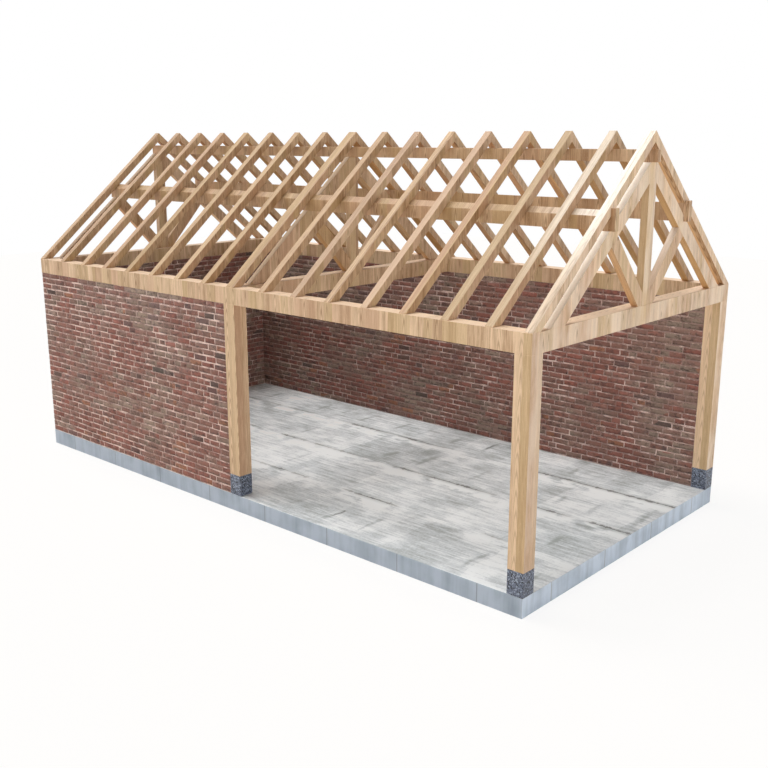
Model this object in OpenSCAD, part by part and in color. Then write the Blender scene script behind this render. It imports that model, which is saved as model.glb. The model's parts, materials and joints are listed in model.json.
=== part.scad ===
// Oak timber frame: king post trusses, purlins and common rafters carried on
// oak posts, granite blocks and brick walls that stand on a concrete slab.
// Millimetres, +Z up. X runs along the ridge, Y across the span.
// The origin is the middle of the slab's underside.

/* [Overall] */
// Length of the frame along the ridge
length = 9000; // [7200:50:10800]
// Span from outer face to outer face
width = 4490; // [3600:5:5400]
// Slope of the roof in degrees
roof_pitch = 40; // [33:0.5:46]
// Thickness of the concrete slab
slab_t = 225; // [150:5:300]

/* [Brick walls] */
// Courses of brick from the slab to the wall plates
courses = 31; // [24:1:37]
// Height of one course with its bed joint
course_h = 81.5; // [65:0.5:90]
// Height of a mortar bed joint
bed_joint = 10; // [6:1:14]
// How far the bed joints are raked back from the face
joint_rake = 4; // [2:1:8]
// Thickness of the walls
wall_t = 200; // [180:5:240]

/* [Posts] */
// Side of the square posts and the blocks under them
post_w = 200; // [170:5:240]
// Height of the granite blocks
block_h = 276; // [200:2:350]
// Length of the stub tenons at the heads of the posts
post_tenon = 40; // [30:1:43]
// Length of the stubs that locate the posts on the blocks
foot_stub = 25; // [15:5:40]

/* [Plates and ties] */
// Depth of the wall plates and tie beams
plate_d = 215; // [180:5:260]
// Width of the wall plates
plate_w = 200; // [180:5:240]
// Width of the tie beams
tie_w = 200; // [170:5:240]
// Length of the tie beams' end tenons
tie_tenon = 100; // [70:5:130]

/* [Trusses] */
// Thickness of the king posts, principals and struts
truss_t = 85; // [70:1:100]
// Width of the king posts
king_w = 160; // [140:5:190]
// Depth of the principal rafters
principal_d = 170; // [140:5:200]
// Depth of the struts
strut_d = 165; // [135:5:195]
// Slope of the struts in degrees
strut_pitch = 47; // [42:0.5:52]
// Depth of the mortises and tenons inside the trusses
truss_tenon = 45; // [30:1:55]

/* [Ridge and purlins] */
// Width of the ridge beam and the purlins
purlin_w = 75; // [60:1:90]
// Depth of the ridge beam
ridge_d = 133; // [110:1:155]
// Where the purlins lie, as a share of the half span from the ridge
purlin_share = 0.376; // [0.32:0.002:0.44]
// Least depth of the purlins' seats in the principals
seat_depth = 7; // [5:1:20]
// How far the ridge beam and purlins run past the gables
tail = 55; // [44:1:66]
// Height of the tails' heads over the back of the purlins
tail_lift = 26; // [20:1:32]

/* [Common rafters] */
// Width of the common rafters
rafter_w = 95; // [80:1:115]
// Depth of the common rafters
rafter_d = 95; // [80:1:115]
// Width of the middle pair of rafters
mid_rafter_w = 142; // [115:1:170]
// Spaces between the rafters along the frame, an even number
rafter_bays = 16; // [14:2:18]
// Space between rafters and principals, square to the slope
roof_space = 108; // [90:1:130]
// Blunt toe left at the foot of each rafter
rafter_toe = 6; // [4:1:12]

/* [Clearances] */
// Play round and beyond the tenons, and at the purlins' cheeks
joint_gap = 1; // [0.5:0.5:2]
// Parting between two rafters at the apex
apex_gap = 1; // [0.5:0.5:2]

/* [Hidden] */

half_l = length / 2;
half_w = width / 2;
slope = tan(roof_pitch);
wall_h = courses * course_h;
z_wall = slab_t + wall_h;
z_plate = z_wall + plate_d;
z_apex = z_plate + half_w * slope;

// vertical distances of the sloping faces below the rafters' top faces
rafter_drop = rafter_d / cos(roof_pitch);
principal_drop = rafter_drop + roof_space / cos(roof_pitch);
under_drop = principal_drop + principal_d / cos(roof_pitch);

half_king = king_w / 2;
z_head = roof_z(half_king, principal_drop);
purlin_mid = half_w * purlin_share;
purlin_in = purlin_mid - purlin_w / 2;
purlin_out = purlin_mid + purlin_w / 2;
z_seat = roof_z(purlin_out, principal_drop) - seat_depth;
z_tail = roof_z(purlin_in, rafter_drop) + tail_lift;

// the strut's middle line meets the principal's underside below the purlin
strut_slope = tan(strut_pitch);
strut_half = strut_d / cos(strut_pitch) / 2;
strut_top = purlin_mid - strut_d / 2;
strut_z0 = roof_z(strut_top, under_drop) - strut_top * strut_slope;
strut_low = (z_plate - strut_z0 + strut_half) / strut_slope;

// tenons: a third of the truss timbers, a quarter of the heavier ones,
// set in from the timbers' edges and further in from their sharp corners
truss_tenon_t = truss_t / 3;
tie_tenon_t = tie_w / 4;
tie_tenon_h = plate_d / 2;
post_tenon_t = post_w / 4;
post_tenon_l = post_w / 2;
post_stub_w = post_w / 3;
ridge_stub_w = purlin_w / 2;
edge_inset = 25;
strut_inset = 30;
corner_inset = 50;
cut_over = 1;

rafter_last = rafter_bays;
rafter_mid = rafter_bays / 2;
rafter_pitch = length / rafter_bays;

FRAMES = ["left", "mid", "right"];
SIDES = ["front", "back"];
POSTS = ["mid", "right", "rear"];

OAK = [0.80, 0.66, 0.48];
OAK_DARK = [0.70, 0.55, 0.38];
BRICK = [0.56, 0.36, 0.31];
GRANITE = [0.33, 0.35, 0.39];
CONCRETE = [0.80, 0.81, 0.82];

function rafter_name(i) = str("rafters_", i < 9 ? "0" : "", i + 1);

// height of a face lying "drop" below the roof line, "d" out from the ridge
function roof_z(d, drop) = z_apex - d * slope - drop;

// height of a strut's middle line raised by "lift", "d" out from the ridge
function strut_z(d, lift) = strut_z0 + d * strut_slope + lift;

// distance from the ridge at which a strut's face meets the principal
function strut_meet(lift) =
    (z_apex - under_drop - strut_z0 - lift) / (strut_slope + slope);

// first x of a tie beam, of the truss timbers on it, and of a post below
function tie_x(f) = f == 0 ? -half_l : f == 1 ? -tie_w / 2 : half_l - tie_w;
function truss_x(f) = f == 0 ? -half_l : f == 1 ? -truss_t / 2 : half_l - truss_t;
function post_x(p) = p == 0 ? -post_w / 2 : half_l - post_w;
function post_y(p) = p == 2 ? half_w - post_w : -half_w;
function side_sign(s) = s == 0 ? -1 : 1;

// first x and width of a rafter couple; the wider middle one starts in line
function rafter_x(i) =
    i == rafter_last ? half_l - rafter_w
    : i == rafter_mid ? -rafter_w / 2
    : -half_l + i * rafter_pitch;
function rafter_wide(i) = i == rafter_mid ? mid_rafter_w : rafter_w;

// a shape drawn across the span and up, drawn out along the frame
module across(x, t) {
    translate([x, 0, 0])
        rotate([90, 0, 90])
            linear_extrude(height = t)
                children();
}

// a block given by its two far corners
module block(a, b) {
    translate(a)
        cube(b - a);
}

// a tenon or, grown by the play, its mortise
module tenon(a, b, grow) {
    play = [grow, grow, grow];
    block(a - play, b + play);
}

// ---- masonry -------------------------------------------------------------

module slab() {
    color(CONCRETE)
        block([-half_l, -half_w, 0], [half_l, half_w, slab_t]);
}

// cross section of a wall, with the bed joints raked back on both faces
module wall_section() {
    right = [for (i = [0:courses - 1]) for (q = [
        [wall_t - joint_rake, i * course_h],
        [wall_t - joint_rake, i * course_h + bed_joint],
        [wall_t, i * course_h + bed_joint],
        [wall_t, (i + 1) * course_h]
    ]) q];
    left = [for (i = [len(right) - 1:-1:0]) [wall_t - right[i][0], right[i][1]]];
    polygon(concat(right, left));
}

module wall_along(x, y, run) {
    color(BRICK)
        translate([0, y, slab_t])
            across(x, run)
                wall_section();
}

module wall_front() {
    wall_along(-half_l, -half_w, post_x(0) + half_l);
}

module wall_back() {
    wall_along(-half_l, half_w - wall_t, length - post_w);
}

module wall_left() {
    color(BRICK)
        translate([-half_l, half_w - wall_t, slab_t])
            rotate([90, 0, 0])
                linear_extrude(height = width - 2 * wall_t)
                    wall_section();
}

module stub_foot(p, grow) {
    x = post_x(p) + (post_w - post_stub_w) / 2;
    y = post_y(p) + (post_w - post_stub_w) / 2;
    z = slab_t + block_h;
    tenon([x, y, z - foot_stub], [x + post_stub_w, y + post_stub_w, z + cut_over], grow);
}

module granite_block(p) {
    color(GRANITE)
        difference() {
            block([post_x(p), post_y(p), slab_t],
                  [post_x(p) + post_w, post_y(p) + post_w, slab_t + block_h]);
            stub_foot(p, joint_gap);
        }
}

// ---- posts, plates and ties ----------------------------------------------

module post_head(p, grow) {
    x = post_x(p) + (post_w - post_tenon_l) / 2;
    y = post_y(p) + (post_w - post_tenon_t) / 2;
    tenon([x, y, z_wall - cut_over],
          [x + post_tenon_l, y + post_tenon_t, z_wall + post_tenon], grow);
}

module post(p) {
    color(OAK) {
        block([post_x(p), post_y(p), slab_t + block_h],
              [post_x(p) + post_w, post_y(p) + post_w, z_wall]);
        stub_foot(p, 0);
        post_head(p, 0);
    }
}

// the tie's tenon reaches from its shoulder into the plate
module tie_end(f, s, grow) {
    sign = side_sign(s);
    y_in = sign * (half_w - plate_w - cut_over);
    y_out = sign * (half_w - plate_w + tie_tenon);
    x = tie_x(f) + (tie_w - tie_tenon_t) / 2;
    z = z_plate - (plate_d + tie_tenon_h) / 2;
    tenon([x, min(y_in, y_out), z],
          [x + tie_tenon_t, max(y_in, y_out), z + tie_tenon_h], grow);
}

module plate(s) {
    y = s == 0 ? -half_w : half_w - plate_w;
    color(OAK)
        difference() {
            block([-half_l, y, z_wall], [half_l, y + plate_w, z_plate]);
            for (p = [0:2]) {
                post_head(p, joint_gap);
            }
            for (f = [0:2]) {
                tie_end(f, s, joint_gap);
            }
        }
}

module king_foot(f, grow) {
    x = truss_x(f) + truss_tenon_t;
    half = half_king - edge_inset;
    tenon([x, -half, z_plate - truss_tenon],
          [x + truss_tenon_t, half, z_plate + cut_over], grow);
}

// tenon under a principal's foot, let into the top of the tie
module principal_foot(f, s, grow) {
    x = truss_x(f) + truss_tenon_t;
    d_out = (z_apex - principal_drop - z_plate) / slope - corner_inset;
    d_in = (z_apex - under_drop - z_plate) / slope + edge_inset;
    y0 = min(side_sign(s) * d_out, side_sign(s) * d_in);
    tenon([x, y0, z_plate - truss_tenon],
          [x + truss_tenon_t, y0 + d_out - d_in, z_plate + cut_over], grow);
}

module tie(f) {
    color(OAK)
        difference() {
            union() {
                block([tie_x(f), -half_w + plate_w, z_wall],
                      [tie_x(f) + tie_w, half_w - plate_w, z_plate]);
                for (s = [0:1]) {
                    tie_end(f, s, 0);
                }
            }
            king_foot(f, joint_gap);
            for (s = [0:1]) {
                principal_foot(f, s, joint_gap);
            }
        }
}

// ---- trusses -------------------------------------------------------------

// tenon at a principal's head, let into the side of the king post
module principal_head(f, s, grow) {
    x = truss_x(f) + truss_tenon_t;
    low = roof_z(half_king, under_drop) + edge_inset;
    high = roof_z(half_king, principal_drop) - corner_inset;
    y_in = side_sign(s) * (half_king - truss_tenon);
    y_out = side_sign(s) * (half_king + cut_over);
    tenon([x, min(y_in, y_out), low],
          [x + truss_tenon_t, max(y_in, y_out), high], grow);
}

// tenon at a strut's foot, let into the side of the king post
module strut_foot(f, s, grow) {
    x = truss_x(f) + truss_tenon_t;
    low = z_plate + edge_inset;
    high = strut_z(half_king, strut_half) - corner_inset;
    y_in = side_sign(s) * (half_king - truss_tenon);
    y_out = side_sign(s) * (half_king + cut_over);
    tenon([x, min(y_in, y_out), low],
          [x + truss_tenon_t, max(y_in, y_out), high], grow);
}

// tenon at a strut's head, square to the principal it props
module strut_head(f, s, grow) {
    x = truss_x(f) + truss_tenon_t;
    d = (strut_meet(strut_half) + strut_meet(-strut_half)) / 2;
    half = strut_d / 2 - strut_inset;
    translate([0, side_sign(s) * d, roof_z(d, under_drop)])
        rotate([-side_sign(s) * roof_pitch, 0, 0])
            tenon([x, -half, -cut_over], [x + truss_tenon_t, half, truss_tenon], grow);
}

module ridge_stub(f, grow) {
    x = truss_x(f) + truss_tenon_t;
    half = ridge_stub_w / 2;
    tenon([x, -half, z_head - cut_over],
          [x + truss_tenon_t, half, z_head + truss_tenon], grow);
}

module king(f) {
    color(OAK)
        difference() {
            union() {
                block([truss_x(f), -half_king, z_plate],
                      [truss_x(f) + truss_t, half_king, z_head]);
                king_foot(f, 0);
                ridge_stub(f, 0);
            }
            for (s = [0:1]) {
                principal_head(f, s, joint_gap);
                strut_foot(f, s, joint_gap);
            }
        }
}

// principal rafter with its level seat and plumb cheek for the purlin
module principal_shape(s) {
    g = side_sign(s);
    d_toe = (z_apex - principal_drop - z_plate) / slope;
    d_heel = (z_apex - under_drop - z_plate) / slope;
    d_seat = (z_apex - principal_drop - z_seat) / slope;
    d_cheek = purlin_in - joint_gap;
    polygon([
        [g * d_toe, z_plate],
        [g * d_heel, z_plate],
        [g * half_king, roof_z(half_king, under_drop)],
        [g * half_king, z_head],
        [g * d_cheek, roof_z(d_cheek, principal_drop)],
        [g * d_cheek, z_seat],
        [g * d_seat, z_seat]
    ]);
}

module principal(f, s) {
    color(OAK)
        difference() {
            union() {
                across(truss_x(f), truss_t)
                    principal_shape(s);
                principal_foot(f, s, 0);
                principal_head(f, s, 0);
            }
            strut_head(f, s, joint_gap);
        }
}

// strut with its foot cut into the corner of king post and tie
module strut_shape(s) {
    g = side_sign(s);
    d_up = strut_meet(strut_half);
    d_down = strut_meet(-strut_half);
    polygon([
        [g * half_king, z_plate],
        [g * half_king, strut_z(half_king, strut_half)],
        [g * d_up, roof_z(d_up, under_drop)],
        [g * d_down, roof_z(d_down, under_drop)],
        [g * strut_low, z_plate]
    ]);
}

module strut(f, s) {
    color(OAK_DARK) {
        across(truss_x(f), truss_t)
            strut_shape(s);
        strut_foot(f, s, 0);
        strut_head(f, s, 0);
    }
}

// ---- ridge, purlins and rafters ------------------------------------------

module ridge() {
    half = purlin_w / 2;
    color(OAK_DARK)
        difference() {
            block([-half_l - tail, -half, z_head], [half_l + tail, half, z_head + ridge_d]);
            for (f = [0:2]) {
                ridge_stub(f, joint_gap);
            }
        }
}

// purlin with its back bevelled to the roof, and full depth heads on the tails
module purlin(s) {
    g = side_sign(s);
    y0 = min(g * purlin_in, g * purlin_out);
    color(OAK_DARK) {
        across(-half_l, length)
            polygon([
                [g * purlin_in, z_seat],
                [g * purlin_in, roof_z(purlin_in, rafter_drop)],
                [g * purlin_out, roof_z(purlin_out, rafter_drop)],
                [g * purlin_out, z_seat]
            ]);
        block([-half_l - tail, y0, z_seat], [-half_l, y0 + purlin_w, z_tail]);
        block([half_l, y0, z_seat], [half_l + tail, y0 + purlin_w, z_tail]);
    }
}

// one rafter: level seat on the plate, blunt toe, plumb cut at the apex
module rafter_shape(s) {
    g = side_sign(s);
    d_toe = half_w - rafter_toe;
    d_heel = half_w - rafter_drop / slope;
    d_top = apex_gap / 2;
    polygon([
        [g * d_toe, z_plate],
        [g * d_toe, roof_z(d_toe, 0)],
        [g * d_top, roof_z(d_top, 0)],
        [g * d_top, roof_z(d_top, rafter_drop)],
        [g * d_heel, z_plate]
    ]);
}

module rafters(i) {
    color(OAK)
        for (s = [0:1]) {
            across(rafter_x(i), rafter_wide(i))
                rafter_shape(s);
        }
}

slab();
wall_front();
wall_left();
wall_back();
for (p = [0:2]) granite_block(p);
for (p = [0:2]) post(p);
for (s = [0:1]) plate(s);
for (f = [0:2]) tie(f);
for (f = [0:2]) king(f);
for (f = [0:2]) for (s = [0:1])
    principal(f, s);
for (f = [0:2]) for (s = [0:1])
    strut(f, s);
for (s = [0:1]) purlin(s);
ridge();
for (i = [0:rafter_last]) rafters(i);
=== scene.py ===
"""Finishes and brickwork of an oak framed garage, built around its fixed frame.

The timbers are eased copies of the frame's own solids. The brick walls are laid brick by
brick over mortar cores, and the slab and the granite blocks get their own finishes. All
lengths are metres in the frame's axes: X along the ridge, Y across the span, Z up.
"""

import itertools
import json
import logging
import math
from collections.abc import Callable
from dataclasses import dataclass
from enum import Enum
from typing import Any

import bmesh
import bpy
import numpy as np
from bpy.types import ID, ColorRamp, Material, Mesh, Node, NodeSocket, Object, World
from mathutils import Matrix, Vector


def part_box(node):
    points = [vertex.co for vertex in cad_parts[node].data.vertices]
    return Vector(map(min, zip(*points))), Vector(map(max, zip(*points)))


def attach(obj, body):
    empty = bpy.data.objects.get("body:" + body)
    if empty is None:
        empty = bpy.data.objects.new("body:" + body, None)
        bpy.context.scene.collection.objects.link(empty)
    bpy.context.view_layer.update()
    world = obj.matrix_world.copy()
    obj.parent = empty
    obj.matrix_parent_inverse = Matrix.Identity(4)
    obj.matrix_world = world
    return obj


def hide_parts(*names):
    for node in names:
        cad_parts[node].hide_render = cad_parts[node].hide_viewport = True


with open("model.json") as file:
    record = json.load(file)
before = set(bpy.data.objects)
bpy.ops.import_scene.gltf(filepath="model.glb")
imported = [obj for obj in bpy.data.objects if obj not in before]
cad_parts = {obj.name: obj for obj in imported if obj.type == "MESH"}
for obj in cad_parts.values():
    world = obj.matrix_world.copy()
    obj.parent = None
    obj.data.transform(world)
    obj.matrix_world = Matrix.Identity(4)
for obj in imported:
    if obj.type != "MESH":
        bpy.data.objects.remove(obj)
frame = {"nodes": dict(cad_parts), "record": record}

LOG = logging.getLogger("oak_frame")
BODY = "root"
SEED = 20
FACING = 0.6  # a face looks along an axis where that part of its normal is larger
SMOOTHSTEP = {"interpolation_type": "SMOOTHSTEP"}

Rng = np.random.Generator
Pair = tuple[float, float]
Triple = tuple[float, float, float]
Stops = tuple[tuple[float, Triple], ...]  # places along a ramp with paint-chart colours
Coat = tuple[float, float, float, float]  # a paint-chart colour and the share of it
Colour = tuple[float, float, float, float]  # linear light and alpha
WHITE: Colour = (1.0, 1.0, 1.0, 1.0)


def srgb(red: float, green: float, blue: float) -> Colour:
    """Turn a paint-chart colour into linear light.

    Each channel c in 0..1 becomes ((c + 0.055) / 1.055) to the power 2.4, or c / 12.92
    when it is very dark.

    Args:
        red, green, blue: Channels from 0 to 255.

    Returns:
        Linear red, green, blue and full alpha.
    """
    channels = np.array([red, green, blue]) / 255
    curve = ((channels + 0.055) / 1.055) ** 2.4
    return (*np.where(channels <= 0.04045, channels / 12.92, curve).tolist(), 1.0)


# ---- shader helpers ----


def operators(operation: str) -> tuple[Callable[..., "Value"], Callable[..., "Value"]]:
    """Make the two methods of an operator, each of which adds one Math node.

    Args:
        operation: Blender's name of the operation.

    Returns:
        The method for a value on the operator's left, and the one for its right.
    """
    def left(self: "Value", *others: Any) -> "Value":
        """This value, then any other."""
        return self.maths(operation, self, *others)

    def right(self: "Value", other: Any) -> "Value":
        """The other value, then this one."""
        return self.maths(operation, other, self)

    return left, right


def stir(base: float, values: tuple["Value", ...], weights: tuple[float, ...]) -> "Value":
    """A base level, plus each value's swing about one half times its weight."""
    return sum(((value - 0.5) * weight for value, weight in zip(values, weights)), base)


@dataclass(frozen=True, eq=False)
class Value:
    """One output socket of a graph, which takes part in sums as a number does."""

    graph: "Graph"
    socket: NodeSocket

    def maths(self, operation: str, *terms: Any) -> "Value":
        """Add a Math node with numbers or values as its inputs, in order."""
        inputs = dict(enumerate(terms))
        return self.graph.node("ShaderNodeMath", {"operation": operation}, inputs)["Value"]

    __add__, __radd__ = operators("ADD")
    __sub__, __rsub__ = operators("SUBTRACT")
    __mul__, __rmul__ = operators("MULTIPLY")
    __truediv__, __rtruediv__ = operators("DIVIDE")
    __pow__, __rpow__ = operators("POWER")
    __gt__, __lt__ = operators("GREATER_THAN")
    __abs__, sine, floor, fraction = (
        operators(operation)[0] for operation in ("ABSOLUTE", "SINE", "FLOOR", "FRACT")
    )

    def clamp(self) -> "Value":
        """Held between nought and one."""
        return self.maths("MINIMUM", self.maths("MAXIMUM", self, 0.0), 1.0)

    def parts(self) -> tuple["Value", "Value", "Value"]:
        """The three components of a vector or colour."""
        split = self.graph.node("ShaderNodeSeparateXYZ", {}, {0: self})
        return split[0], split[1], split[2]

    def smooth(self, low: float, high: float) -> "Value":
        """Ease this value from nought at low to one at high, which may be the lesser."""
        inputs = {"Value": self, "From Min": low, "From Max": high}
        return self.graph.node("ShaderNodeMapRange", SMOOTHSTEP, inputs)["Result"]

    def shade(self, factor: "Value") -> "Value":
        """This colour scaled by a grey factor."""
        inputs = {0: self, "Scale": factor}
        return self.graph.node("ShaderNodeVectorMath", {"operation": "SCALE"}, inputs)["Vector"]

    def mix(self, share: "Value", other: "Value | Colour", blend: str = "MIX") -> "Value":
        """Blend this colour with another.

        Args:
            share: How much of the other is taken.
            other: The other colour, in linear light.
            blend: Blender's name of the way to blend.

        Returns:
            The blended colour.
        """
        settings = {"data_type": "RGBA", "blend_type": blend}
        inputs = {"Factor_Float": share, "A_Color": self, "B_Color": other}
        return self.graph.node("ShaderNodeMix", settings, inputs)["Result_Color"]

    def coat(self, coat: Coat, where: "Value", blend: str = "MIX") -> "Value":
        """Lay a coat over this colour, by its share where it lies in full."""
        *paint, share = coat
        return self.mix(where * share, srgb(*paint), blend)


@dataclass(frozen=True)
class Outputs:
    """The outputs of a node, found by place, identifier or name."""

    graph: "Graph"
    made: Node

    def __getitem__(self, key: int | str) -> Value:
        """One output as a value."""
        return Value(self.graph, pick(self.made.outputs, key))


def pick(sockets: Any, key: int | str) -> NodeSocket:
    """Find a node's socket by its place, its identifier or else its name."""
    named = [s for s in sockets if s.identifier == key] + [s for s in sockets if s.name == key]
    return sockets[key] if isinstance(key, int) else named[0]


class Graph:
    """A node tree, and the one way in which nodes are added to it."""

    def __init__(self, owner: Material | World) -> None:
        """Turn on the nodes of a material or world and empty them.

        Args:
            owner: The material or world.
        """
        owner.use_nodes = True
        self.tree = owner.node_tree
        self.tree.nodes.clear()

    def node(self, kind: str, settings: dict[str, Any], inputs: dict[int | str, Any]) -> Outputs:
        """Add a node.

        Args:
            kind: Blender's type of node.
            settings: Its own properties; "stops" fills a colour ramp.
            inputs: A number, colour or value for each input that is set.

        Returns:
            The node's outputs.
        """
        made = self.tree.nodes.new(kind)
        for key, setting in settings.items():
            if key == "stops":
                fill_ramp(made.color_ramp, setting)
            else:
                setattr(made, key, setting)
        for key, value in inputs.items():
            socket = pick(made.inputs, key)
            if isinstance(value, Value):
                self.tree.links.new(value.socket, socket)
            else:
                socket.default_value = value
        return Outputs(self, made)

    def vector(self, x: Any, y: Any, z: Any = 0.0) -> Value:
        """Three values as one vector."""
        return self.node("ShaderNodeCombineXYZ", {}, {0: x, 1: y, 2: z})["Vector"]

    def noise(self, place: Value, scale: float, detail: float = 2.0, rough: float = 0.5) -> Value:
        """Smooth noise from nought to one at a place."""
        inputs = {"Vector": place, "Scale": scale, "Detail": detail, "Roughness": rough}
        return self.node("ShaderNodeTexNoise", {}, inputs)["Fac"]

    def attribute(self, name: str) -> tuple[Value, Value, Value]:
        """The three numbers of a mesh attribute, as values."""
        return self.node("ShaderNodeAttribute", {"attribute_name": name}, {})["Vector"].parts()

    def ramp(self, value: Value, stops: Stops, kind: str = "LINEAR") -> Value:
        """Colour looked up along a ramp."""
        settings = {"stops": (kind, stops)}
        return self.node("ShaderNodeValToRGB", settings, {"Fac": value})["Color"]

    def choose(self, share: Value, first: Value, second: Value) -> Value:
        """Number blended from first to second."""
        return first + (second - first) * share

    def blend(self, share: Value, first: Value, second: Value) -> Value:
        """Two shaders, with a share of the second."""
        return self.node("ShaderNodeMixShader", {}, {0: share, 1: first, 2: second})["Shader"]

    def seen(self) -> Value:
        """One for rays that come straight, mirrored or through glass from the eye."""
        path = self.node("ShaderNodeLightPath", {}, {})
        return (path["Is Camera Ray"] + path["Is Glossy Ray"] + path["Is Transmission Ray"]).clamp()


def fill_ramp(ramp: ColorRamp, setting: tuple[str, Stops]) -> None:
    """Give a colour ramp its stops.

    Args:
        ramp: The ramp.
        setting: Its interpolation, and the place and paint-chart colour of each stop.
    """
    ramp.interpolation, stops = setting
    while len(ramp.elements) < len(stops):
        ramp.elements.new(1.0)
    for element, (place, colour) in zip(ramp.elements, stops):
        element.position = place
        element.color = srgb(*colour)


@dataclass(frozen=True)
class Finish:
    """A finish with the parts that every one has: a name, a gloss and a relief."""

    name: str
    rough: float = 0.7
    relief: float = 0.002
    relief_strength: float = 0.5

    def surface(self, graph: Graph, colour: Value, rough: Value, height: Value) -> None:
        """Join colour, roughness and relief to the shader.

        Args:
            graph: The material's graph.
            colour: Base colour over the surface.
            rough: Roughness over the surface.
            height: Relief from nought to one, scaled by the finish's depth.
        """
        bump = {"Strength": self.relief_strength, "Distance": self.relief, "Height": height}
        normal = graph.node("ShaderNodeBump", {}, bump)["Normal"]
        inputs = {"Base Color": colour, "Roughness": rough, "Normal": normal}
        shader = graph.node("ShaderNodeBsdfPrincipled", {}, inputs)["BSDF"]
        graph.node("ShaderNodeOutputMaterial", {}, {"Surface": shader})

    def draw(self, graph: Graph) -> None:
        """Fill the graph; each finish has its own."""
        raise NotImplementedError

    def material(self) -> Material:
        """Make the finish's material.

        Returns:
            The material, with its graph filled.
        """
        made = bpy.data.materials.new(self.name)
        self.draw(Graph(made))
        return made


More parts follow.
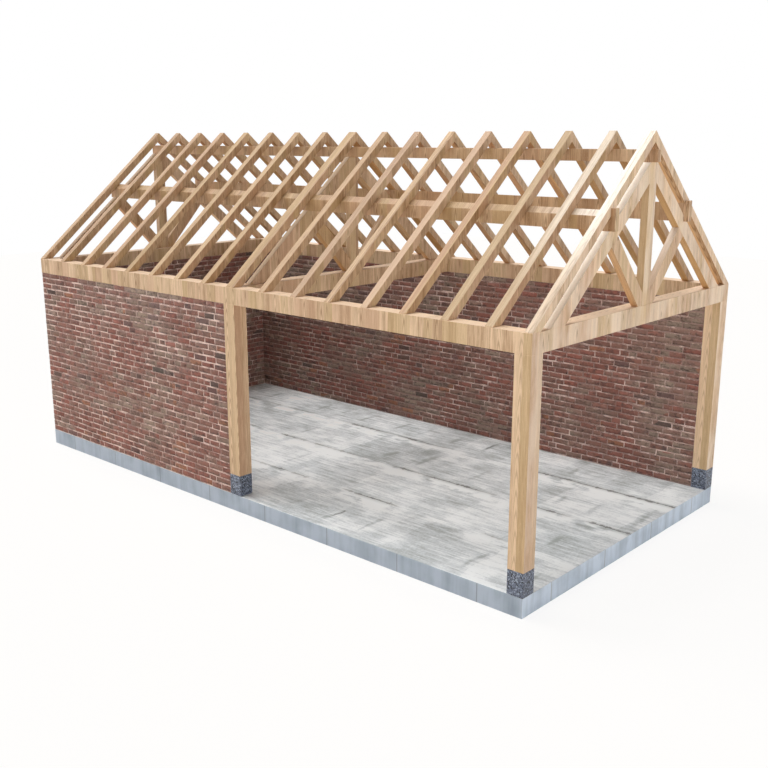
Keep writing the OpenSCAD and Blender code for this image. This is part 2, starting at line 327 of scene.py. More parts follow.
@dataclass(frozen=True)
class OakFinish(Finish):
    """Pale sawn oak: upright boards of varied tone with streaks, arches, pores and knots.

    Over "painted_open_light_span" the timbers are painted lighter along X, as light falling in at
    the open gable, most on faces that look along X. There "silver" paints paler, cooler light
    on the palest faces across the ridge and "washed" paints a highlight on sloping tops.
    "sunned" is painted light on level tops and "sheltered" painted warm fill light on what
    looks down; "browner" lies on timbers of negative tone. The "weights" are those of wide
    streaks, fine ones and drift.
    """

    boards: float = 7.5
    streaks: float = 42.0
    arch_rise: float = 5.0
    arch_curve: float = 1250.0
    arch_sway: float = 2.6
    arch_reach: Pair = (0.075, 0.03)
    painted_open_light: float = 0.16
    painted_open_light_span: Pair = (3.0, 4.35)
    board_weight: float = 0.54
    weights: tuple[float, ...] = (1.35, 1.7, 0.4)
    tone_weight: float = 0.7
    tone_gain: float = 0.45
    slope_shade: float = 0.09
    tones: Stops = (
        (0.05, (150, 115, 78)),
        (0.32, (177, 145, 111)),
        (0.58, (198, 169, 137)),
        (0.95, (222, 194, 160)),
    )
    pink: Coat = (202, 165, 136, 0.5)
    straw: Coat = (193, 167, 120, 0.45)
    rosy: Coat = (202, 165, 136, 1.0)
    browner: Coat = (255, 247, 234, 1.0)
    painted_cool_light: Coat = (230, 215, 198, 1.0)
    painted_fill: Coat = (255, 236, 206, 0.85)
    painted_top_light: Coat = (240, 210, 180, 0.8)
    painted_highlight: Coat = (253, 243, 228, 1.0)
    between: Coat = (222, 194, 160, 0.35)
    arch: Coat = (133, 98, 62, 0.55)
    pore: Coat = (133, 98, 62, 0.3)
    fleck: Coat = (222, 194, 160, 0.35)
    knot: Coat = (110, 70, 39, 0.75)

    def draw(self, graph: Graph) -> None:
        """Draw the oak.

        The place is read as a distance across the boards and a distance along the grain.
        Upright faces carry upright grain, and faces that look up or down carry it across
        the span. Each board has a tone of its own. The arches are lines of equal
        curve x across squared + rise x along + noise, as a plain sawn board shows them.

        Args:
            graph: The material's graph.
        """
        coords = graph.node("ShaderNodeTexCoord", {}, {})
        seed, own_tone, warm = graph.attribute("timber")
        x, y, z = coords["Object"].parts()
        facing_x, _, facing_z = coords["Normal"].parts()
        faces_end = abs(facing_x) > FACING
        open_end = x.smooth(*self.painted_open_light_span)
        # Painted light: timbers lighter towards the open gable, most on faces that look along X.
        tone = own_tone + open_end * (0.3 + faces_end * 0.7) * self.painted_open_light
        faces_up = (abs(facing_z) > FACING) * (1 - faces_end)
        across = graph.choose(faces_end, x, y + 3.7) + seed * 31.0
        along = graph.choose(faces_up, z, y * 1.25 + 7.3) + seed * 17.0
        sway = graph.noise(graph.vector(across * 0.4, along * 0.9), 2.0)
        across = across + (sway - 0.5) * 0.02

        cell_inputs = {"W": across, "Scale": self.boards, "Randomness": 1.0}
        cells = graph.node("ShaderNodeTexVoronoi", {"voronoi_dimensions": "1D"}, cell_inputs)
        board_tone, board_hue, board_figure = cells["Color"].parts()
        offset = across - cells["W"]

        def grain(stretch: float, scale: float, detail: float, rough: float = 0.5) -> Value:
            """Noise drawn out along the grain."""
            return graph.noise(graph.vector(across, along * stretch, seed), scale, detail, rough)

        wide = grain(0.02, self.streaks * 0.4, 3.0)
        fine = grain(0.035, self.streaks * 3.0, 4.0, 0.6)
        drift = graph.noise(graph.vector(across * 0.8, along * 0.5), 2.2, 2.0)
        boarded = (board_tone - 0.5) * tone.smooth(-0.2, 0.05) * self.board_weight
        level = stir(0.5, (wide, fine, drift), self.weights) + boarded + tone * self.tone_weight
        colour = graph.ramp(level, self.tones)
        colour = colour.coat(self.pink, board_hue.smooth(0.55, 0.9))
        colour = colour.coat(self.straw, board_hue.smooth(0.4, 0.1))
        colour = colour.coat(self.rosy, warm)
        colour = colour.coat(self.browner, tone.smooth(0.02, -0.08), "MULTIPLY")

        patches = grain(0.25, 5.0, 3.0, 0.6).smooth(0.3, 0.65)
        # Painted light: paler, cooler light in patches on the faces that look along X where the
        # timbers are palest.
        cool_lit_share = tone.smooth(0.13, 0.24) * faces_end * patches
        cool_lit_share = cool_lit_share * (0.6 + tone.smooth(0.26, 0.36) * 0.35)
        colour = colour.coat(self.painted_cool_light, cool_lit_share)
        # The tone, with its painted light towards the open gable, also scales the colour here.
        colour = colour.shade(1 + tone * self.tone_gain)
        # Painted light: a warm fill light on faces that look down.
        colour = colour.coat(self.painted_fill, facing_z.smooth(-0.3, -0.7), "MULTIPLY")
        level_top = facing_z.smooth(0.85, 0.95)
        sloping = facing_z.smooth(0.5, 0.7) * (1 - level_top)
        colour = colour.shade(1 - sloping * self.slope_shade)
        # Painted light: level tops lighter and warmer.
        colour = colour.coat(self.painted_top_light, level_top)
        # Painted highlight: sloping tops near the open gable whitened, most high up and on the
        # heavy timbers.
        stout = own_tone.smooth(0.02, 0.05)
        painted_highlight = sloping * open_end**3.0 * (fine + wide + stout * 0.25).smooth(0.45, 1.15)
        painted_highlight = painted_highlight * (0.15 + z.smooth(3.2, 4.2) * 0.8 + stout * 0.45).clamp()
        colour = colour.coat(self.painted_highlight, painted_highlight)

        wander = graph.noise(graph.vector(across * 9.0, along * 1.4, seed), 1.0, 2.0)
        rings = offset * offset * self.arch_curve + along * self.arch_rise + wander * self.arch_sway
        wave = ((rings * math.tau).sine() * 0.5 + 0.5) ** 3.0
        figured = board_figure.smooth(0.45, 0.7) * (1 - sloping * 0.6)
        figured = figured * abs(offset).smooth(*self.arch_reach)
        arches = wave * figured
        colour = colour.coat(self.between, (1 - wave) ** 4.0 * figured)
        colour = colour.coat(self.arch, arches)

        pores = grain(0.05, 620.0, 1.0).smooth(0.62, 0.72)
        colour = colour.coat(self.pore, pores)
        colour = colour.coat(self.fleck, grain(0.22, 130.0, 1.0).smooth(0.66, 0.74))

        knot_place = graph.vector(across * 2.0, along * 0.9, seed)
        knot_cells = graph.node("ShaderNodeTexVoronoi", {}, {"Vector": knot_place, "Scale": 1.1})
        core = knot_cells["Distance"].smooth(0.05, 0.022)
        colour = colour.coat(self.knot, core)

        rough = self.rough + (fine - 0.5) * 0.2 + pores * 0.1
        height = fine * 0.6 + wide * 0.25 - pores * 0.5 - arches * 0.25 - core * 0.2
        self.surface(graph, colour, rough, height)


@dataclass(frozen=True)
class BrickFinish(Finish):
    """Old mixed bricks: each has its own colour, with sand, scorch and lime bloom on it."""

    zones: Stops = (
        (0.10, (136, 86, 75)),
        (0.38, (132, 92, 81)),
        (0.60, (131, 101, 90)),
        (0.85, (140, 121, 107)),
    )
    accents: Stops = (
        (0.00, (142, 86, 74)),
        (0.30, (152, 102, 76)),
        (0.58, (98, 76, 74)),
        (0.84, (66, 60, 55)),
    )
    accent_share: float = 0.12
    scorch: Coat = (76, 60, 56, 0.8)
    sand: Coat = (206, 180, 171, 0.3)
    lime: Coat = (206, 180, 171, 0.7)
    half_height: float = 0.03575
    smear: float = 0.009
    zone_middle: float = 0.44
    accent_strength: float = 0.75
    darkest: float = 0.91
    light_spread: float = 0.28
    grit_weight: float = 0.8
    shadow_weight: float = 0.46

    def draw(self, graph: Graph) -> None:
        """Draw the bricks.

        The wall drifts between zones of red-brown and of grey-tan bricks, and the first
        channel of "brick" moves each one a little within its zone. A few, most of them
        where a second noise gathers them, have a colour of their own. The second channel
        sets how light a brick is and the third shifts its marks. "spot" holds the way
        along from the brick's middle, its half length and the way up. Lime from the
        joints is smeared over the edges, up to a width that changes from place to place.

        Args:
            graph: The material's graph.
        """
        place = graph.node("ShaderNodeTexCoord", {}, {})["Object"]
        kind, light, seed = graph.attribute("brick")
        from_middle, half_length, rise = graph.attribute("spot")
        x, y, z = place.parts()
        moved = graph.vector(x + seed * 9.0, y + seed * 5.0, z * 1.8)
        wide = graph.vector(x, y, z * 1.5)

        zone = graph.noise(wide, 0.9, 3.0, 0.62)
        drift = (zone - 0.5) * 2.0 + self.zone_middle + (kind - 0.5) * 0.6
        colour = graph.ramp(drift, self.zones)
        gathered = graph.noise(wide, 2.3, 1.0).smooth(0.45, 0.68)
        which = (kind * 7.31 + light * 3.7).fraction()
        odd = (seed * 5.17 + kind * 2.9).fraction() < self.accent_share * (0.35 + gathered * 1.6)
        accent = graph.ramp(which, self.accents, "CONSTANT")
        colour = colour.mix(odd * self.accent_strength, accent)

        mottle = graph.noise(moved, 14.0, 4.0, 0.7)
        grit = graph.noise(moved, 95.0, 4.0, 0.75)
        colour = colour.coat(self.scorch, mottle.smooth(0.47, 0.66))
        sanded = graph.noise(moved, 22.0, 4.0, 0.7).smooth(0.56, 0.74)
        colour = colour.coat(self.sand, sanded)

        to_end = half_length - abs(from_middle)
        to_bed = self.half_height - abs(rise)
        ragged = graph.noise(place, 28.0, 4.0, 0.7).smooth(0.4, 0.68) * self.smear
        on_end = (to_end / (ragged * 0.8 + 0.001)).smooth(1.3, 0.5) * (to_end > 0.003)
        on_bed = (to_bed / (ragged + 0.001)).smooth(1.3, 0.5)
        bloom = graph.noise(place, 3.2, 3.0).smooth(0.32, 0.58)
        limed = (on_end * 0.4 + on_bed).clamp() * bloom
        colour = colour.coat(self.lime, limed)
        shadow = rise.smooth(0.0, -0.034) * (1 - limed)
        shadow = shadow * graph.noise(place, 11.0, 3.0, 0.7).smooth(0.35, 0.6)
        gain = self.darkest + light * self.light_spread + (grit - 0.5) * self.grit_weight
        colour = colour.shade(gain - shadow * self.shadow_weight)

        rough = self.rough + (grit - 0.5) * 0.2
        self.surface(graph, colour, rough, grit * 0.5 + mottle * 0.5 + limed * 0.3)


@dataclass(frozen=True)
class MortarFinish(Finish):
    """Pale lime mortar with sand and slightly pink stains."""

    back_darkening: float = 0.025
    stain_share: float = 0.9
    sand_weight: float = 0.24
    tones: Stops = ((0.0, (226, 203, 194)), (1.0, (132, 104, 96)))

    def draw(self, graph: Graph) -> None:
        """Draw the mortar: pale lime that dirt hides in places, and fine sand.

        Args:
            graph: The material's graph.
        """
        place = graph.node("ShaderNodeTexCoord", {}, {})["Object"]
        broad = graph.noise(place, 1.3, 3.0, 0.6)
        patchy = graph.noise(place, 7.0, 5.0, 0.8)
        sand = graph.noise(place, 260.0, 2.0)
        # Mortar darker towards the back.
        inside = place.parts()[1].smooth(-1.0, 1.5) * self.back_darkening
        share = (broad * 0.35 + patchy * 0.65 + inside).smooth(0.41, 0.56)
        colour = graph.ramp(share * self.stain_share, self.tones)
        colour = colour.shade(1 + (sand - 0.5) * self.sand_weight)
        lumps = graph.noise(place, 45.0, 3.0)
        self.surface(graph, colour, self.rough + sand * 0.1, lumps * 0.7 + sand * 0.3)


@dataclass(frozen=True)
class GraniteFinish(Finish):
    """Dark blue-grey granite with pale and black crystals."""

    grain: float = 75.0
    bend: float = 0.02
    cloud_weight: float = 0.4
    crystals: Stops = (
        (0.0, (44, 49, 59)),
        (0.26, (97, 106, 125)),
        (0.68, (148, 159, 176)),
        (0.86, (97, 106, 125)),
    )

    def draw(self, graph: Graph) -> None:
        """Draw the granite: crystals as cells of one tone each, bent by noise.

        Args:
            graph: The material's graph.
        """
        place = graph.node("ShaderNodeTexCoord", {}, {})["Object"]
        x, y, z = place.parts()
        bend = graph.noise(place, 40.0, 2.0) * self.bend
        cell_inputs = {"Vector": graph.vector(x + bend, y + bend, z), "Scale": self.grain}
        cells = graph.node("ShaderNodeTexVoronoi", {}, cell_inputs)
        kind = cells["Color"].parts()[0]
        colour = graph.ramp(kind, self.crystals, "CONSTANT")
        cloud = graph.noise(place, 18.0, 3.0)
        colour = colour.shade(1 + (cloud - 0.5) * self.cloud_weight)
        rough = self.rough + (kind - 0.5) * 0.2
        self.surface(graph, colour, rough, kind * 0.3 + cloud * 0.7)


@dataclass(frozen=True)
class ConcreteFinish(Finish):
    """Pale cast concrete: bays with soft joints on top, shutter marks on the sides.

    The top is painted lighter by "corner_gain" towards the closed gable and the back, as
    painted light, and painted darker by "worn" near the open gable, as painted shade.
    The slab's end there is painted lighter by "end_gain", as painted light. The
    "weights" are those of clouds, patches, brush marks, specks, panels and cells.
    """

    bay: float = 1.155
    first_joint: float = 0.02
    joint_width: float = 0.009
    joint_blot: float = 0.036
    dash_step: float = 0.575
    dash_share: float = 0.36
    crisp_from: float = 0.87
    shutter: float = 1.12
    end_gain: float = 1.7
    corner_gain: float = 0.14
    wear_and_painted_shade: float = 0.06
    middle: float = 0.57
    weights: tuple[float, ...] = (1.1, 0.6, 1.5, 0.7, 0.26, 0.14)
    side_weights: tuple[float, ...] = (1.3, 0.8)
    halo: Coat = (166, 173, 172, 0.5)
    mark: Coat = (84, 84, 80, 0.8)
    seam: Coat = (84, 84, 80, 0.45)
    tops: Stops = ((0.12, (166, 173, 172)), (0.5, (212, 218, 221)), (0.85, (247, 251, 252)))
    sides: Stops = ((0.2, (138, 151, 165)), (0.62, (170, 182, 197)))

    def draw(self, graph: Graph) -> None:
        """Draw the concrete: trowelled bays on top and shutter boards on the sides.

        The bays lie between joints along X. Cells of "dash_step" along a bay shift its
        tone a little, and a few carry a dash.

        Args:
            graph: The material's graph.
        """
        coords = graph.node("ShaderNodeTexCoord", {}, {})
        place = coords["Object"]
        x, y, z = place.parts()
        facing_x, _, facing_z = coords["Normal"].parts()
        top = abs(facing_z) > FACING

        wobble = graph.noise(graph.vector(x, y), 2.6, 3.0)
        rows = (y - self.first_joint + (wobble - 0.5) * 0.04) / self.bay
        row, in_row = rows.floor(), rows.fraction()
        joint_row = (rows + 0.5).floor()
        to_joint = abs(rows - joint_row) * self.bay

        steps = x / self.dash_step + row * 0.43 + (wobble - 0.5) * 0.3
        cell = graph.vector(steps.floor(), row)
        chances = graph.node("ShaderNodeTexWhiteNoise", {}, {"Vector": cell})
        chance, (_, lightness, shift) = chances["Value"], chances["Color"].parts()
        panel = graph.vector((steps * 0.5 + 0.25).floor(), row + 0.5)
        panel_light = graph.node("ShaderNodeTexWhiteNoise", {}, {"Vector": panel})["Value"]

        cloud = graph.noise(graph.vector(x * 0.8, y), 1.9, 5.0, 0.62)
        patch = graph.noise(graph.vector(x, y * 1.3, row), 3.2, 2.0)
        brushed = graph.noise(graph.vector(x * 0.16, y * 1.5, row), 13.0, 4.0, 0.7)
        speck = graph.noise(graph.vector(x, y), 34.0, 3.0, 0.7)
        swings = (cloud, patch, brushed, speck, panel_light, lightness)
        level = stir(self.middle, swings, self.weights)

        broken = graph.noise(graph.vector(x, joint_row * 5.7), 0.85, 2.0, 0.6)
        blotch = graph.noise(graph.vector(x, y * 0.5, joint_row), 9.0, 3.0, 0.7)
        strength = broken.smooth(0.42, 0.56)
        width = self.joint_width + blotch.smooth(0.45, 0.7) * self.joint_blot
        joint = (to_joint / width).smooth(1.4, 0.5) * strength
        below = (1 - in_row) * self.bay
        lime = below.smooth(0.36, 0.05) * patch.smooth(0.35, 0.55)
        level = level + lime * (0.2 + strength * 0.5)

        to_dash = abs(steps.fraction() - 0.3 - shift * 0.4) * self.dash_step
        dash_end = 0.5 + lightness * 0.25
        dash_span = in_row.smooth(0.14, 0.3) * (in_row / dash_end).smooth(1.0, 0.75)
        soft = (to_dash + (blotch - 0.5) * 0.06).smooth(0.06, 0.0) * dash_span
        soft = soft * chance.smooth(0.2, 0.6)
        crisp_span = abs(in_row - 0.42).smooth(0.14, 0.06)
        sharp = (to_dash + (blotch - 0.5) * 0.03).smooth(0.018, 0.005) * crisp_span
        dash = sharp * (chance > self.crisp_from)
        colour = graph.ramp(level - soft * self.dash_share, self.tops)
        colour = colour.coat(self.halo, to_joint.smooth(0.1, 0.0) * strength)
        marks = (joint + dash).clamp()
        colour = colour.coat(self.mark, marks)
        # Painted light: the top lighter towards the closed gable and the back.
        painted_fill = x.smooth(1.5, -4.0) * 0.7 + y.smooth(0.5, 2.2) * 0.3
        # Painted shade: the top darker near the open gable.
        wear_and_painted_shade = x.smooth(2.0, 4.4) * self.wear_and_painted_shade
        colour = colour.shade(1 + painted_fill * self.corner_gain - wear_and_painted_shade)

        run = x + y
        boards = graph.noise(graph.vector(run, z * 0.08), 5.0, 4.0, 0.6)
        stains = graph.noise(graph.vector(run, z), 3.0, 3.0)
        side = graph.ramp(stir(0.5, (boards, stains), self.side_weights), self.sides)
        seam_gap = abs((run / self.shutter).fraction() - 0.5) * self.shutter
        seam = seam_gap.smooth(0.012, 0.003)
        side = side.coat(self.seam, seam)
        # Painted light: the slab's end at the open gable lighter.
        end = facing_x > FACING
        side = side.shade(1 + end * (self.end_gain - 1))
        colour = side.mix(top, colour)

        grain = graph.noise(place, 90.0, 3.0)
        rough = self.rough + (cloud - 0.5) * 0.25
        height = grain * 0.25 + brushed * 0.3 - marks * 0.9 - seam * (1 - top) * 0.5
        self.surface(graph, colour, rough, height)


# ---- meshes ----


def add_object(name: str, data: ID) -> Object:
    """Make an object at the origin from a mesh, lamp or camera and link it to the scene.

    Args:
        name: The object's name.
        data: The mesh, lamp or camera.

    Returns:
        The object.
    """
    made = bpy.data.objects.new(name, data)
    bpy.context.scene.collection.objects.link(made)
    return made


def mesh_object(name: str, points: np.ndarray, faces: np.ndarray, finish: Material) -> Object:
    """Make an object at the origin from quads, given in the frame's axes.

    Args:
        name: The piece's name.
        points: Corners, one row each.
        faces: Four corner numbers to a row.
        finish: Its material.

    Returns:
        The object, linked to the scene.
    """
    mesh = bpy.data.meshes.new(name)
    mesh.vertices.add(len(points))
    mesh.vertices.foreach_set("co", points.astype(np.float32).ravel())
    mesh.loops.add(faces.size)
    mesh.loops.foreach_set("vertex_index", faces.astype(np.int32).ravel())
    mesh.polygons.add(len(faces))
    mesh.polygons.foreach_set("loop_start", np.arange(0, faces.size, 4, dtype=np.int32))
    mesh.update(calc_edges=True)
    mesh.validate()
    mesh.materials.append(finish)
    return add_object(name, mesh)


def set_attribute(mesh: Mesh, name: str, rows: np.ndarray) -> None:
    """Give each corner point of a mesh a vector of three numbers."""
    attribute = mesh.attributes.new(name, "FLOAT_VECTOR", "POINT")
    attribute.data.foreach_set("vector", rows.astype(np.float32).ravel())


def place_piece(piece: Object, slot: str, *nodes: str) -> None:
    """Fix a piece to the frame and name the nodes that it stands for.

    The solids that it stands for get its finish too.

    Args:
        piece: The piece.
        slot: The name of its material slot; not used.
        nodes: The frame's solids that it stands for.
    """
    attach(piece, BODY)
    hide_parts(*nodes)
    for node in nodes:
        solid = frame["nodes"][node].data
        solid.materials.clear()
        solid.materials.append(piece.data.materials[0])
    LOG.info("%s: %d faces for %s", piece.name, len(piece.data.polygons), ", ".join(nodes))


def lattice() -> tuple[np.ndarray, np.ndarray]:
    """Points and quads on the skin of a block cut 3 x 3 x 3.

    Returns:
        The grid places 0..3 of the 56 points on the skin, and the 54 quads between them,
        each turned so that it faces outwards.
    """
    grid = np.stack(np.meshgrid(*[np.arange(4)] * 3, indexing="ij"), -1).reshape(-1, 3)
    skin = ((grid == 0) | (grid == 3)).any(axis=1)
    number = np.full(64, -1)
    number[skin] = np.arange(skin.sum())
    quads = []
    for axis in range(3):
        u, v = (axis + 1) % 3, (axis + 2) % 3
        for side, i, j in itertools.product((0, 3), range(3), range(3)):
            ring = [(i, j), (i + 1, j), (i + 1, j + 1), (i, j + 1)]
            corners = np.zeros((4, 3), int)
            corners[:, axis] = side
            corners[:, [u, v]] = ring if side else ring[::-1]
            quads.append(number[corners @ np.array([16, 4, 1])])
    return grid[skin], np.array(quads)


# ---- brickwork ----


class Leaf(Enum):
    """The two thicknesses of brick in a wall."""

    OUTER = 0
    INNER = 1


@dataclass(frozen=True)
class Bricklayer:
    """Sizes of the bricks and joints, and the making of rows and leaves of them."""

    course: float = 0.0815
    bed: float = 0.010
    head: float = 0.0065
    leaf: float = 0.095
    rake: float = 0.004
    jamb: float = 0.003
    overlap: float = 0.045
    lengths: tuple[float, ...] = (0.255, 0.222, 0.125)
    chances: tuple[float, ...] = (0.58, 0.22, 0.20)
    length_spread: float = 0.006
    last_cut: float = 1.6
    halve_over: float = 1.15
    # how far in each brick's rounded arrises reach
    wear_and_painted_shade: float = 0.007
    round_off: float = 0.0022
    chip: float = 0.009
    bumps: float = 0.0007
    proud: float = 0.0035
    tilt: float = 0.012
    sink: float = 0.0026
    squat: float = 0.035

    def row(self, low: float, high: float, below: np.ndarray, rng: Rng) -> np.ndarray:
        """Cut one course into bricks whose joints keep clear of those of the course below.

        Args:
            low, high: Ends of the run.
            below: Where the bricks of the course below start.
            rng: Source of the lengths.

        Returns:
            Start and end of each brick, one row each.
        """
        cuts = [low]
        while cuts[-1] < high - self.last_cut * self.lengths[0]:
            sizes = rng.choice(self.lengths, size=8, p=self.chances)
            sizes += rng.normal(0, self.length_spread, 8)
            ends = cuts[-1] + sizes + self.head
            gaps = [np.abs(below - end).min(initial=1.0) for end in ends]
            clear = [end for end, gap in zip(ends, gaps) if gap > self.overlap]
            cuts.append(clear[0] if clear else ends[int(np.argmax(gaps))])
        if high - cuts[-1] > self.halve_over * self.lengths[0]:
            cuts.append((cuts[-1] + high) / 2)
        edges = np.array(cuts + [high + self.head])
        return np.stack([edges[:-1], edges[1:] - self.head], axis=1)

    def bricks(
        self, boxes: np.ndarray, axis: int, outward: int, rng: Rng
    ) -> tuple[np.ndarray, ...]:
        """Turn boxes into bricks with rounded and chipped arrises.

        Every brick is a block cut 3 x 3 x 3 near its edges. Points on its arrises are
        drawn in by the rounding, some are chipped further, and no two bricks are quite
        the same height. Each leans by a small angle in the plane of the wall and sits up
        to "proud" behind the face.

        Args:
            boxes: Low and high corner of each brick.
            axis: Axis along the wall, 0 or 1.
            outward: The way the leaf's face looks on the other level axis.
            rng: Source of the wear.

        Returns:
            Points, quads, and each point's tint and its place in its brick.
        """
        grid, quads = lattice()
        count = len(boxes)
        low, high = boxes[:, None, 0], boxes[:, None, 1]
        cuts = np.stack([low, low + self.wear_and_painted_shade, high - self.wear_and_painted_shade, high], axis=2)[:, 0]
        points = np.stack([cuts[:, grid[:, k], k] for k in range(3)], axis=2)
        outer = np.where(grid == 0, 1.0, 0.0) - np.where(grid == 3, 1.0, 0.0)
        edge = (np.abs(outer).sum(axis=1) >= 2)[None, :, None]
        chips = rng.random((count, len(grid), 1)) ** 6 * self.chip
        points = points + outer[None] * edge * (self.round_off + chips)
        points = points + rng.normal(0, self.bumps, points.shape)
        centre = boxes.mean(axis=1)[:, None]
        lean = rng.normal(0, self.tilt, (count, 1))
        along = points[..., axis] - centre[..., axis]
        above = points[..., 2] - centre[..., 2]
        half = (boxes[:, 1, axis] - boxes[:, 0, axis])[:, None] / 2
        spots = np.stack([along, along * 0 + half, above], axis=2)
        points[..., 2] += above * rng.normal(0, self.squat, (count, 1))
        points[..., 2] += along * lean + rng.normal(0, self.sink, (count, 1))
        points[..., 1 - axis] -= outward * rng.random((count, 1)) * self.proud
        tints = np.repeat(rng.random((count, 1, 3)), len(grid), axis=1)
        faces = quads[None] + (np.arange(count) * len(grid))[:, None, None]
        return points.reshape(-1, 3), faces.reshape(-1, 4), tints, spots


@dataclass
class BrickWall:
    """A wall of two leaves round a mortar core, for one node of the frame.

    The long walls run through the corners in the even courses and the gable wall does in
    the odd ones, so that the quoins bond.
    """

    node: str
    axis: int
    outward: int
    corners: tuple[bool, bool]
    layer: Bricklayer = Bricklayer()
    clearance: float = 0.0002
    bed_clearance: float = 0.0005
    core_drop: float = 0.001
    cell: float = 0.06
    sway: float = 0.0006
    waves: tuple[Pair, ...] = ((37.0, 51.0), (83.0, 71.0))

    def ends(self, leaf: Leaf, through: bool) -> Pair:
        """Where a course starts and stops.

        Args:
            leaf: Which leaf the course is in.
            through: Whether it runs through the corners.

        Returns:
            Low and high end along the wall.
        """
        low, high = (corner[self.axis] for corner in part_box(self.node))
        past_leaf = self.layer.leaf + self.layer.head
        past_wall = self.thickness() + self.layer.head
        reach = {
            (Leaf.OUTER, True): 0.0,
            (Leaf.OUTER, False): past_leaf,
            (Leaf.INNER, True): past_leaf,
            (Leaf.INNER, False): past_wall,
        }[leaf, through]
        corner = reach - (self.thickness() if self.axis == 1 else 0.0)
        return (
            low + (corner if self.corners[0] else self.layer.jamb),
            high - (corner if self.corners[1] else self.layer.jamb),
        )

    def thickness(self) -> float:
        """Thickness of the wall."""
        low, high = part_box(self.node)
        return high[1 - self.axis] - low[1 - self.axis]

    def leaf_boxes(self, leaf: Leaf, rng: Rng) -> np.ndarray:
        """Set out one leaf, course by course from the bottom.

        Args:
            leaf: Which leaf.
            rng: Source of the bricks' lengths.

        Returns:
            Low and high corner of each brick.
        """
        low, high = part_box(self.node)
        face = 1 - self.axis
        looks_up = (self.outward > 0) == (leaf is Leaf.OUTER)
        front = high[face] if looks_up else low[face]
        span = (front - self.layer.leaf, front) if looks_up else (front, front + self.layer.leaf)
        courses = round((high[2] - low[2]) / self.layer.course)
        boxes, below = [], np.array([])
        for course in range(courses):
            through = (course % 2 == 0) == (self.axis == 0)
            start, stop = self.ends(leaf, through)
            row = self.layer.row(start, stop, below, rng)
            below = row[:, 0]
            box = np.zeros((len(row), 2, 3))
            box[:, :, self.axis] = row
            box[:, :, face] = span
            base = low[2] + course * self.layer.course
            box[:, :, 2] = base + self.layer.bed, base + self.layer.course
            boxes.append(box)
        return np.concatenate(boxes)

    def lay(self, leaf: Leaf, finish: Material, rng: Rng) -> None:
        """Lay one leaf of bricks as a single piece, kept just inside the node's box.

        A gable wall's bricks may reach through the corners that it shares.

        Args:
            leaf: Which leaf.
            finish: The bricks' material.
            rng: Source of their lengths and wear.
        """
        looks = self.outward if leaf is Leaf.OUTER else -self.outward
        boxes = self.leaf_boxes(leaf, rng)
        points, faces, tints, spots = self.layer.bricks(boxes, self.axis, looks, rng)
        low, high = (np.array(corner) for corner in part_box(self.node))
        margin = np.full(3, self.clearance)
        margin[2] = self.bed_clearance
        margin[self.axis] -= self.thickness() if self.axis == 1 else 0.0
        points = np.clip(points, low + margin, high - margin)
        piece = mesh_object(f"{self.node}_{leaf.name.lower()}_bricks", points, faces, finish)
        set_attribute(piece.data, "brick", tints)
        set_attribute(piece.data, "spot", spots)
        place_piece(piece, "brickwork", self.node)

    def core(self, finish: Material, rng: Rng) -> None:
        """Fill the wall with mortar, raked back from both faces.

        Each face is a grid over the wall; its points sway in and out by a sum of two sine
        waves of random phase, so that the joints aren't dead flat.

        Args:
            finish: The mortar's material.
            rng: Source of the phases.
        """
        low, high = (np.array(corner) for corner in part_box(self.node))
        face = 1 - self.axis
        inset = self.layer.rake if self.axis == 0 else -self.layer.leaf / 2
        margins = np.full((2, 3), self.layer.rake)
        margins[:, 2] = self.core_drop
        margins[:, self.axis] = np.where(self.corners, inset, 0.0)
        low, high = low + margins[0], high - margins[1]
        steps = ((high - low) / self.cell).astype(int) + 1
        run = np.linspace(low[self.axis], high[self.axis], steps[self.axis])
        up = np.linspace(low[2], high[2], steps[2])
        grid_run, grid_up = np.meshgrid(run, up, indexing="ij")
        phases = rng.uniform(0, math.tau, (len(self.waves), 2))
        sway = sum(
            np.sin(grid_run * wave[0] + phase[0]) * np.sin(grid_up * wave[1] + phase[1])
            for wave, phase in zip(self.waves, phases)
        )
        sheets = []
        for side, base in ((-1, low[face]), (1, high[face])):
            sheet = np.zeros(grid_run.shape + (3,))
            sheet[..., self.axis] = grid_run
            sheet[..., face] = base - side * self.sway * (sway + len(self.waves))
            sheet[..., 2] = grid_up
            sheets.append(sheet.reshape(-1, 3))
        piece = mesh_object(
            f"{self.node}_mortar", np.concatenate(sheets), self.core_faces(*grid_run.shape), finish
        )
        outward_normals(piece.data)
        place_piece(piece, "brickwork", self.node)

    def core_faces(self, rows: int, columns: int) -> np.ndarray:
        """Join the points of two like grids, and the two rims, by quads.

        Args:
            rows, columns: Points of each grid.

        Returns:
            Four point numbers to a row.
        """
        number = np.arange(rows * columns).reshape(rows, columns)
        sheet = np.stack(
            [number[:-1, :-1], number[1:, :-1], number[1:, 1:], number[:-1, 1:]], axis=-1
        ).reshape(-1, 4)
        rim = np.concatenate(
            [number[:, 0], number[-1, 1:], number[-2::-1, -1], number[0, -2:0:-1]]
        )
        after = np.roll(rim, -1)
        other = rows * columns
        band = np.stack([rim, after, after + other, rim + other], axis=1)
        return np.concatenate([sheet[:, ::-1], sheet + other, band])


def outward_normals(mesh: Mesh) -> None:
    """Turn every face of a closed mesh outwards.

    Args:
        mesh: The mesh.
    """
    shell = bmesh.new()
    shell.from_mesh(mesh)
    bmesh.ops.recalc_face_normals(shell, faces=shell.faces)
    shell.to_mesh(mesh)
    shell.free()


# ---- solid pieces taken from the frame ----


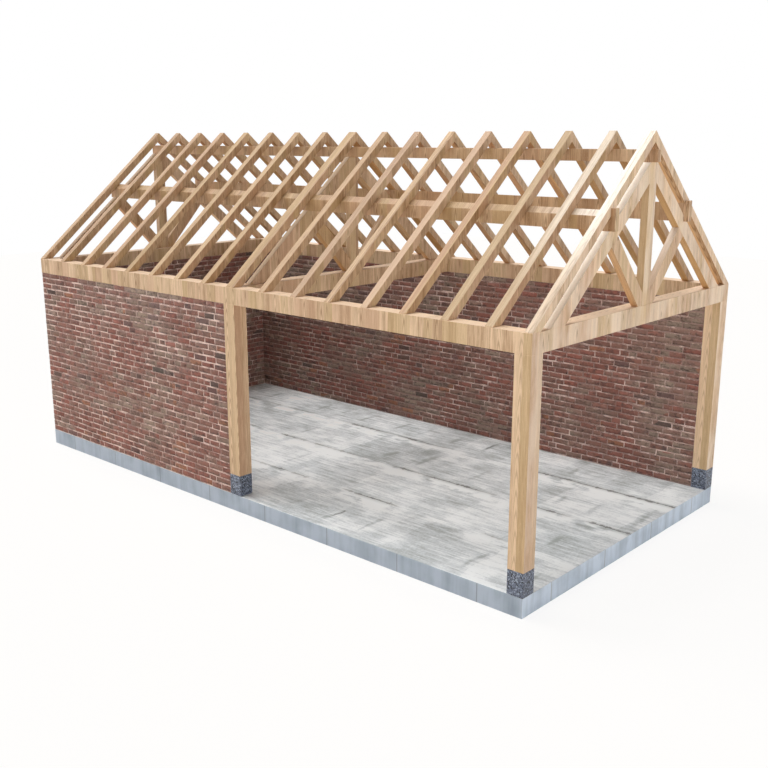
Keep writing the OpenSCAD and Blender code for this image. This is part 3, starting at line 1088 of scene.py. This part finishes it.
@dataclass
class EasedPiece:
    """A copy of a frame solid with its arrises eased."""

    node: str
    slot: str
    ease: float = 0.003
    segments: int = 2
    weld: float = 1e-5
    flat_angle: float = math.radians(1)
    sharp_angle: float = math.radians(20)

    def build(self, finish: Material) -> Object:
        """Copy the node, join its loose triangles into flat faces and ease the edges.

        Args:
            finish: The piece's material.

        Returns:
            The piece, fixed to the frame in its node's place.
        """
        shell = bmesh.new()
        shell.from_mesh(frame["nodes"][self.node].data)
        bmesh.ops.remove_doubles(shell, verts=shell.verts, dist=self.weld)
        bmesh.ops.dissolve_limit(
            shell, angle_limit=self.flat_angle, verts=shell.verts, edges=shell.edges
        )
        mesh = bpy.data.meshes.new(f"{self.slot}_{self.node}")
        shell.to_mesh(mesh)
        shell.free()
        mesh.materials.append(finish)
        piece = add_object(mesh.name, mesh)
        bevel = piece.modifiers.new("eased_arrises", "BEVEL")
        bevel.width = self.ease
        bevel.segments = self.segments
        bevel.limit_method = "ANGLE"
        bevel.loop_slide = False
        bevel.angle_limit = self.sharp_angle
        place_piece(piece, self.slot, self.node)
        return piece


@dataclass
class OakFrame:
    """Every timber of the frame, each with a seed and a tone of its own.

    The kinds in "heavy" are of a paler oak than the rafters, struts, purlins and ridge.
    """

    tone_spread: float = 0.025
    warm_spread: float = 0.14
    heavy_warm: float = 0.3
    browner: float = -0.08
    painted_light_slope: float = 0.08
    heavy_tone: float = 0.06
    heavy_seed: float = 0.37
    rear_extra: float = 0.14
    alternate: float = 0.035
    heavy: tuple[str, ...] = ("post", "plate", "tie", "principal", "king")

    def timbers(self) -> list[str]:
        """Names of the nodes in the oak slot."""
        rows = frame["record"]["subparts"]
        return sorted(row["node"] for row in rows if row["material_slot"] == "oak")

    def family(self, node: str) -> float:
        """Find the tone that a timber shares with its kind.

        Every other rafter is a little lighter, and the rafters are painted lighter towards
        the open gable, as light falling in there.

        Args:
            node: The timber's name.

        Returns:
            The tone.
        """
        kind, _, mark = node.partition("_")
        if kind == "rafters":
            count, last = int(mark), sum(name.startswith("rafters") for name in self.timbers())
            along = (count - 1) / (last - 1) * 2 - 1
            # Painted light: rafters lighter towards the open gable.
            return self.browner + self.alternate * (count % 2 * 2 - 1) + along * self.painted_light_slope
        if kind in self.heavy:
            return self.heavy_tone + (self.rear_extra if node == "post_rear" else 0.0)
        return self.browner

    def build(self, finish: Material, rng: Rng) -> None:
        """Make all the timbers; the heavy ones share a seed, so grain runs on over a joint.

        Args:
            finish: The oak.
            rng: Source of each timber's seed, tone and warmth.
        """
        for node in self.timbers():
            piece = EasedPiece(node, "oak").build(finish)
            heavy = node.partition("_")[0] in self.heavy
            seed, spread, share = rng.random(), rng.normal(0, self.tone_spread), rng.random()
            tone = self.family(node) + (0.0 if heavy else spread)
            warm = self.warm_spread * (self.heavy_warm if heavy else share)
            row = [self.heavy_seed if heavy else seed, tone, warm]
            set_attribute(piece.data, "timber", np.tile(row, (len(piece.data.vertices), 1)))


# ---- surroundings ----


@dataclass
class Studio:
    """Pale floor, soft light and the camera."""

    azimuth: float = 41.884
    elevation: float = 14.044
    roll: float = 0.023
    eye: Triple = (9.546, -9.979, 4.761)
    lens: float = 45.97
    sight: float = 200.0
    floor_size: float = 60.0
    floor_drop: float = 0.002
    floor_paint: Triple = (249, 239, 226)
    floor_glow: float = 0.9
    zenith: float = 0.0
    horizon: float = 2.35
    horizon_band: Pair = (0.15, 0.35)
    overhead: float = 2.1
    overhead_way: Triple = (0.22, 0.08, -0.97)
    slant: float = 1.05
    slant_way: Triple = (0.66, 0.10, -0.74)
    spread: float = 30.0

    def camera(self) -> None:
        """Set the camera: turned by azimuth, tipped down by elevation, then rolled."""
        data = bpy.data.cameras.new("camera")
        data.lens = self.lens
        data.clip_end = self.sight
        made = add_object("camera", data)
        made.matrix_world = Matrix.Translation(self.eye)
        for angle, axis in ((self.azimuth, "Z"), (90 - self.elevation, "X"), (self.roll, "Z")):
            made.matrix_world = made.matrix_world @ Matrix.Rotation(math.radians(angle), 4, axis)
        bpy.context.scene.camera = made

    def floor(self) -> None:
        """Lay a pale floor just under the slab; it keeps a soft shadow."""
        corners = np.array([[-1, -1], [1, -1], [1, 1], [-1, 1]]) * self.floor_size / 2
        points = np.column_stack([corners, np.full(4, -self.floor_drop)])
        material = bpy.data.materials.new("floor")
        graph = Graph(material)
        paint = {"Color": srgb(*self.floor_paint)}
        matt = graph.node("ShaderNodeBsdfDiffuse", {}, paint)["BSDF"]
        light = {"Color": WHITE, "Strength": 1.0}
        glow = graph.node("ShaderNodeEmission", {}, light)["Emission"]
        both = graph.blend(graph.seen() * self.floor_glow, matt, glow)
        graph.node("ShaderNodeOutputMaterial", {}, {"Surface": both})
        mesh_object("floor", points, np.array([[0, 1, 2, 3]]), material)

    def lamp(self, name: str, energy: float, way: Triple) -> None:
        """Hang one very soft white lamp.

        Args:
            name: The lamp's name.
            energy: Its strength.
            way: The way in which it shines.
        """
        data = bpy.data.lights.new(name, "SUN")
        data.energy = energy
        data.angle = math.radians(self.spread)
        made = add_object(name, data)
        made.rotation_mode = "QUATERNION"
        made.rotation_quaternion = Vector(way).to_track_quat("-Z", "Y")

    def light(self) -> None:
        """Light the object with a pale horizon, a lamp overhead and a slanting one."""
        world = bpy.data.worlds.new("sky")
        bpy.context.scene.world = world
        graph = Graph(world)
        height = graph.node("ShaderNodeTexCoord", {}, {})["Generated"].parts()[2]
        glows = [
            graph.node("ShaderNodeBackground", {}, {"Color": WHITE, "Strength": level})
            for level in (self.horizon, self.zenith, 1.0)
        ]
        low, high, shown = (glow["Background"] for glow in glows)
        sky = graph.blend(height.smooth(*self.horizon_band), low, high)
        both = graph.blend(graph.seen(), sky, shown)
        graph.node("ShaderNodeOutputWorld", {}, {"Surface": both})
        self.lamp("overhead", self.overhead, self.overhead_way)
        self.lamp("slant", self.slant, self.slant_way)

    def build(self) -> None:
        """Make the surroundings and set how colours are shown."""
        self.camera()
        self.floor()
        self.light()
        bpy.context.scene.view_settings.view_transform = "Standard"


def main() -> None:
    """Build the surroundings, the masonry and the timbers, and report each piece."""
    logging.basicConfig(level=logging.INFO, format="%(message)s")
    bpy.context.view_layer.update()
    rng = np.random.default_rng(SEED)
    Studio().build()

    brick = BrickFinish("old_brick", rough=0.82, relief=0.003).material()
    mortar = MortarFinish("lime_mortar", rough=0.85, relief=0.002).material()
    walls = [
        BrickWall("wall_front", 0, -1, (True, False)),
        BrickWall("wall_left", 1, -1, (True, True)),
        BrickWall("wall_back", 0, 1, (True, False)),
    ]
    for wall in walls:
        for leaf in Leaf:
            wall.lay(leaf, brick, rng)
        wall.core(mortar, rng)

    granite = GraniteFinish("granite", rough=0.5, relief=0.001).material()
    for node in ("block_mid", "block_right", "block_rear"):
        EasedPiece(node, "granite", ease=0.004).build(granite)
    concrete = ConcreteFinish("concrete", rough=0.72, relief=0.004).material()
    EasedPiece("slab", "concrete", ease=0.006).build(concrete)
    oak = OakFinish("oak", rough=0.57, relief=0.0015).material()
    OakFrame().build(oak, rng)


if __name__ == "__main__":
    main()
